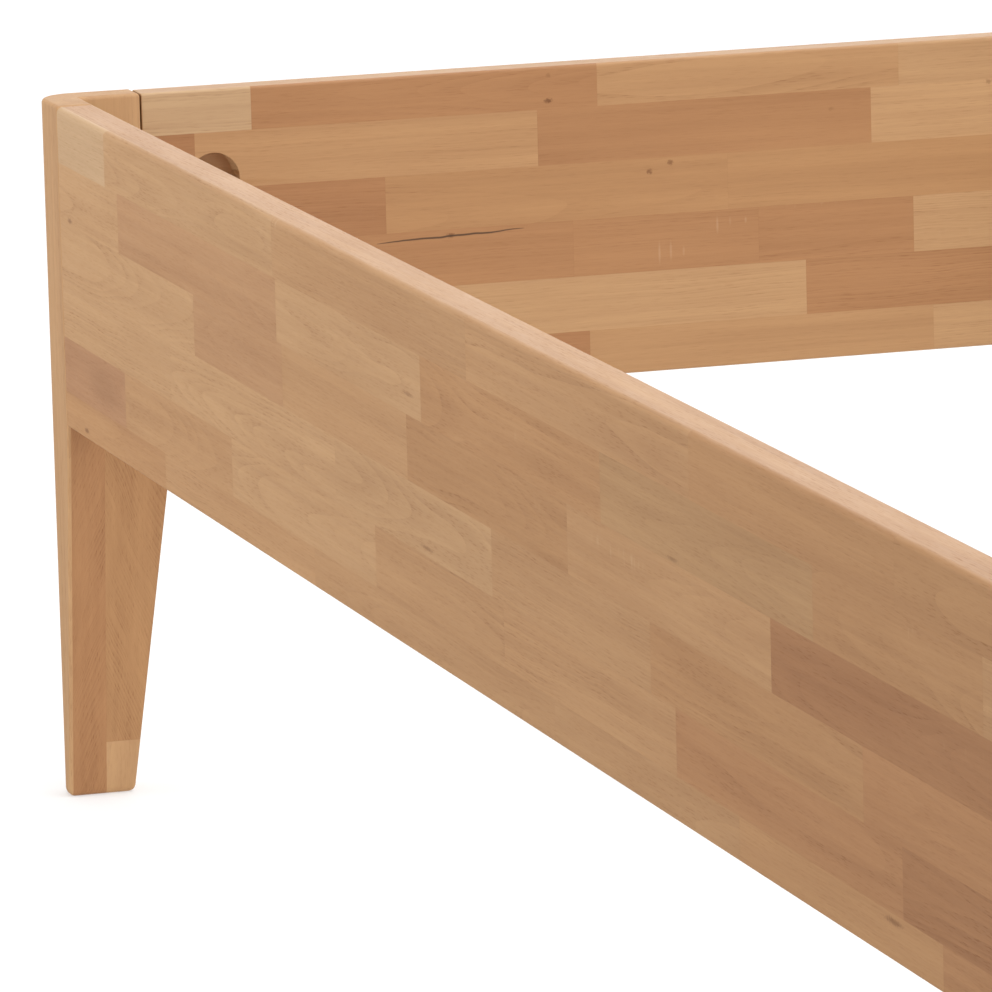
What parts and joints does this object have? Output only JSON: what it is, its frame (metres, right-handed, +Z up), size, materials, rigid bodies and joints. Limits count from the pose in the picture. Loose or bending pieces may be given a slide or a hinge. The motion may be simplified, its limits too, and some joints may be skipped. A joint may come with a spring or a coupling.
{
  "type": "bed frame",
  "caption": "Low wooden bed frame with stave-glued rails, tapered L-shaped corner legs, slat ledges and a centre beam on an adjustable foot.",
  "frame": {"origin": "on the floor under the middle of the bed", "axes": "+X across the bed, +Y along the bed towards the head rail, +Z up"},
  "size_m": [1.46, 2.06, 0.4635],
  "materials": {
    "solid_oak": "stave-glued solid oak, oiled satin",
    "planed_pine": "planed pine, unfinished",
    "dowel_beech": "fluted beech, raw",
    "zinc_steel": "zinc-plated steel",
    "hanger_steel": "galvanised sheet steel",
    "pad_plastic": "moulded black plastic"
  },
  "bodies": {
    "bed_frame": {"leg_head_left": "solid_oak", "leg_head_right": "solid_oak", "leg_foot_left": "solid_oak", "leg_foot_right": "solid_oak", "side_rail_left": "solid_oak", "side_rail_right": "solid_oak", "head_rail": "solid_oak", "foot_rail": "solid_oak", "slat_ledge_left": "planed_pine", "slat_ledge_right": "planed_pine", "center_beam": "planed_pine", "center_leg": "planed_pine", "ledge_screws_left": "zinc_steel", "ledge_screws_right": "zinc_steel", "hanger_screws_head": "zinc_steel", "hanger_screws_foot": "zinc_steel", "center_leg_stud": "zinc_steel", "bed_bolts_head_left": "zinc_steel", "bed_bolts_head_right": "zinc_steel", "bed_bolts_foot_left": "zinc_steel", "bed_bolts_foot_right": "zinc_steel", "bolt_washers_head_left": "zinc_steel", "bolt_washers_head_right": "zinc_steel", "bolt_washers_foot_left": "zinc_steel", "bolt_washers_foot_right": "zinc_steel", "threaded_inserts_head_left": "zinc_steel", "threaded_inserts_head_right": "zinc_steel", "threaded_inserts_foot_left": "zinc_steel", "threaded_inserts_foot_right": "zinc_steel", "foot_insert": "zinc_steel", "beam_hanger_head": "hanger_steel", "beam_hanger_foot": "hanger_steel", "dowels_head_left": "dowel_beech", "dowels_head_right": "dowel_beech", "dowels_foot_left": "dowel_beech", "dowels_foot_right": "dowel_beech"},
    "center_foot": {"leveling_spindle": "zinc_steel", "leveling_pad": "pad_plastic"}
  },
  "joints": [
    {"name": "center_foot_height", "type": "slide", "parent": "bed_frame", "child": "center_foot", "axis": [0, 0, -1], "range_m": [-0.008, 0.012]}
  ]
}
